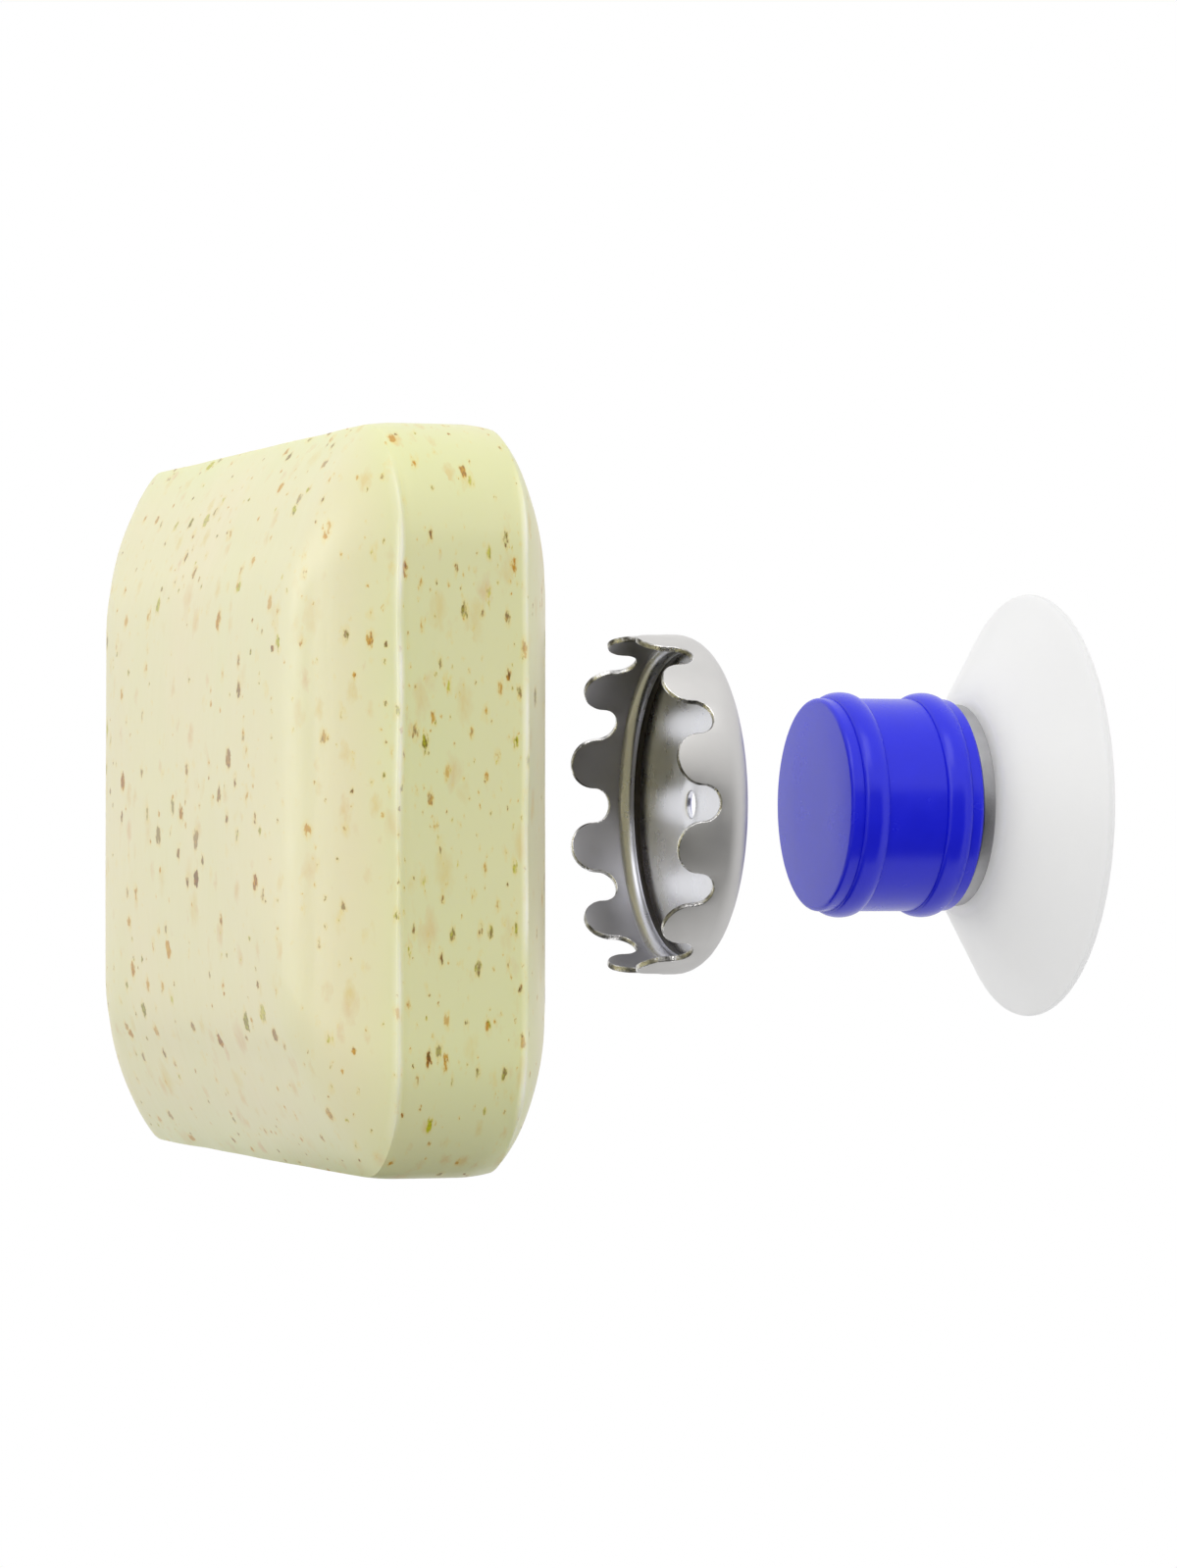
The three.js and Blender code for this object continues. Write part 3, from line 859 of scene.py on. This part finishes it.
def soap_material():
    """Pale waxy soap with herb flecks at the surface and blurred ones below it. Its band is painted greener
    and darker as shade, and its parting ridges paler as a painted highlight.
    """
    material, tree, shader = new_material(
        "soap",
        Subsurface_Weight=SOAP_GLOW,
        Subsurface_Radius=SOAP_GLOW_COLOUR,
        Subsurface_Scale=SOAP_GLOW_DEPTH * MM,
    )
    cloud = noise_field(tree, SOAP_CLOUD, detail=2)
    face_colours_and_band_shades = [mix_colours(tree, cloud, *pair) for pair in (FACE_COLOURS, BAND_SHADE_COLOURS)]
    # Painted shade: the band takes greener and darker colours than the faces.
    colour = mix_colours(tree, surface_mark(tree, BAND_SHADE_MARK), *face_colours_and_band_shades)
    colour = deep_herbs(tree, colour, cell=(5, 2.4, 5.5), shift=(3, 7, 1), opacity=0.5)
    colour = deep_herbs(tree, colour, cell=(3, 1.4, 3.4), shift=(5, 1, 8), opacity=0.6)
    grain = noise_field(tree, HERB_GRAIN, detail=2)
    large = {"cell": (2.6, 1.1, 2.8), "shift": (0, 0, 0), "largest": 0.4, "share": 0.7}
    small = {"cell": (1.5, 0.65, 1.3), "shift": (9, 2, 5), "largest": 0.28, "share": 0.5}
    for herbs in (large, small):
        colour = surface_herbs(tree, colour, grain, **herbs)
    # Painted highlight: the parting ridges turn pale.
    colour = mix_colours(tree, surface_mark(tree, RIDGE_HIGHLIGHT_MARK), colour, RIDGE_HIGHLIGHT_COLOUR)
    tree.links.new(colour, shader.inputs["Base Color"])
    vary_roughness(tree, shader, noise_field(tree, SOAP_SHEEN), SOAP_ROUGHNESS)
    bump(tree, shader, noise_field(tree, SOAP_PORE, detail=4), SOAP_PORE_DEPTH)
    return material


def steel_material(name, colour, roughness, grain, shade=SMUDGE_SHADE):
    """Satin steel with smudges that lighten and darken it by a share, and a fine grain of a depth in
    millimetres."""
    material, tree, shader = new_material(name, Metallic=1)
    smudges = noise_field(tree, SMUDGE_SIZE, detail=4)
    limits = [roughness * (1 - SMUDGE_POLISH), roughness * (1 + SMUDGE_POLISH)]
    mottle(tree, shader, smudges, shades(colour, shade), limits)
    bump(tree, shader, noise_field(tree, FINE_GRAIN, detail=2), grain)
    return material


def cut_material():
    """Sheared edge of the sheet: torn, part bright and part dark, which paints its glints and its shade."""
    material, tree, shader = new_material("cap_cut_painted_glints_and_shade", Metallic=1)
    parts = remap(tree, noise_field(tree, CUT_PART_SIZE), CUT_PART_EDGE)
    mottle(tree, shader, parts, CUT_GLINT_AND_SHADE_COLOURS, CUT_ROUGHNESS)
    bump(tree, shader, noise_field(tree, CUT_GRAIN, detail=2), CUT_GRAIN_DEPTH)
    return material


def sleeve_material():
    """Satin blue elastomer with a fine moulded grain."""
    material, tree, shader = new_material("sleeve_rubber")
    mottle(tree, shader, noise_field(tree, SLEEVE_MOTTLE, detail=4), SLEEVE_COLOURS, SLEEVE_ROUGHNESS)
    bump(tree, shader, noise_field(tree, FINE_GRAIN, detail=2), SLEEVE_GRAIN_DEPTH)
    return material


def cup_material(name, colour):
    """Milky vinyl that lets some light through."""
    material, tree, shader = new_material(
        name,
        IOR=CUP_IOR,
        Subsurface_Weight=1,
        Subsurface_Radius=(1, 1, 1),
        Subsurface_Scale=CUP_GLOW_DEPTH * MM,
    )
    mottle(tree, shader, noise_field(tree, CUP_MOTTLE), shades(colour, CUP_SHADE), CUP_ROUGHNESS)
    bump(tree, shader, noise_field(tree, CUP_GRAIN, detail=2), CUP_GRAIN_DEPTH)
    return material


def dress_hidden_nodes():
    """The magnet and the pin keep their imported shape, and get a metal finish."""
    finishes = {
        "magnet_disc": steel_material("magnet_plating", MAGNET_COLOUR, roughness=0.18, grain=0.003),
        "neck_pin": steel_material("pin_steel", PIN_COLOUR, roughness=0.3, grain=0.003),
    }
    for node, finish in finishes.items():
        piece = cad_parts[node]
        piece.data.materials.clear()
        piece.data.materials.append(finish)


def make_world():
    """Even white light all round, which is also the background."""
    world = bpy.data.worlds.new("studio")
    bpy.context.scene.world = world
    world.use_nodes = True
    background = world.node_tree.nodes["Background"]
    background.inputs["Color"].default_value = grey(1)
    background.inputs["Strength"].default_value = 1


def add_plane(name, width, height, level, material):
    """A flat sheet of the stage, at a level in its own space."""
    signs = [(-1, -1), (1, -1), (1, 1), (-1, 1)]
    corners = [(x * width / 2 * MM, y * height / 2 * MM, level * MM) for x, y in signs]
    mesh = bpy.data.meshes.new(name)
    mesh.from_pydata(corners, [], [range(len(corners))])
    mesh.materials.append(material)
    plane = add_object(name, mesh)
    return plane


def make_floor():
    """A plain floor that looks white, and fades into the background away from the object. Its matt colour
    is darker, so that undersides stay darker than tops."""
    material = bpy.data.materials.new("floor")
    material.use_nodes = True
    tree = material.node_tree
    tree.nodes.clear()
    path = add_node(tree, "ShaderNodeLightPath", {})
    seen = math_node(tree, "MAXIMUM", path.outputs["Is Camera Ray"], path.outputs["Is Glossy Ray"])
    seen = math_node(tree, "MAXIMUM", seen, path.outputs["Is Transmission Ray"])
    point = add_node(tree, "ShaderNodeTexCoord", {}).outputs["Object"]
    away = add_node(tree, "ShaderNodeVectorMath", {0: point}, operation="LENGTH").outputs["Value"]
    fade = remap(tree, away, [distance * MM for distance in FLOOR_FADE], FLOOR_WHITE)
    matt = add_node(tree, "ShaderNodeBsdfDiffuse", {"Color": grey(FLOOR_GREY)})
    white = add_node(tree, "ShaderNodeEmission", {"Color": grey(1), "Strength": 1})
    share = math_node(tree, "MULTIPLY", seen, fade)
    both = add_node(tree, "ShaderNodeMixShader", {0: share, 1: matt.outputs[0], 2: white.outputs[0]})
    add_node(tree, "ShaderNodeOutputMaterial", {"Surface": both.outputs[0]})
    add_plane("floor", 2 * FLOOR_REACH, 2 * FLOOR_REACH, FLOOR_LEVEL, material)


def face_object(holder, direction, distance):
    """Puts a camera, lamp or card at a distance in a direction, facing the object."""
    towards = Vector(direction).normalized()
    holder.location = AIM * MM + towards * (distance * MM)
    holder.rotation_mode = "QUATERNION"
    holder.rotation_quaternion = (-towards).to_track_quat("-Z", "Y")


def make_card(name, direction, distance, width, height):
    """A black card that only mirror reflections show, as the dark room behind a camera."""
    material, _, _ = new_material(name, Base_Color=grey(CARD_GREY), Roughness=1, Specular_IOR_Level=0)
    card = add_plane(name, width, height, 0, material)
    face_object(card, direction, distance)
    card.visible_camera = False
    card.visible_diffuse = False
    card.visible_transmission = False
    card.visible_shadow = False


def make_softbox(name, direction, size, watts):
    """A square area lamp that faces the object from a direction."""
    lamp = bpy.data.lights.new(name, "AREA")
    lamp.energy = watts
    lamp.size = size * MM
    face_object(add_object(name, lamp), direction, LAMP_DISTANCE)


def make_camera():
    """The photograph's view: almost level, from the soap's side of the row."""
    data = bpy.data.cameras.new("camera")
    data.sensor_width = SENSOR
    data.lens = PIXELS_PER_MM * DISTANCE / PHOTO_HEIGHT * SENSOR
    camera = add_object("camera", data)
    yaw = math.radians(YAW)
    tilt = math.radians(TILT)
    back = (math.cos(yaw) * math.cos(tilt), -math.sin(yaw) * math.cos(tilt), math.sin(tilt))
    face_object(camera, back, DISTANCE)
    bpy.context.scene.camera = camera


bpy.context.scene.view_settings.view_transform = "Standard"
make_camera()
make_world()
make_floor()
make_softbox("key", direction=(-0.65, -0.72, 0.13), size=260, watts=0.55)
make_softbox("fill", direction=(0.55, -0.75, 0.4), size=500, watts=0.75)
make_softbox("top", direction=(0.5, -0.2, 0.82), size=400, watts=0.7)
make_card("dark_room", direction=(0.93, 0, -0.375), distance=300, width=450, height=450)
make_card("low_flag", direction=(0, -0.35, -1), distance=66, width=140, height=42)

make_soap()
make_cap()
make_sleeve()
make_barrel()
make_cup()
dress_hidden_nodes()
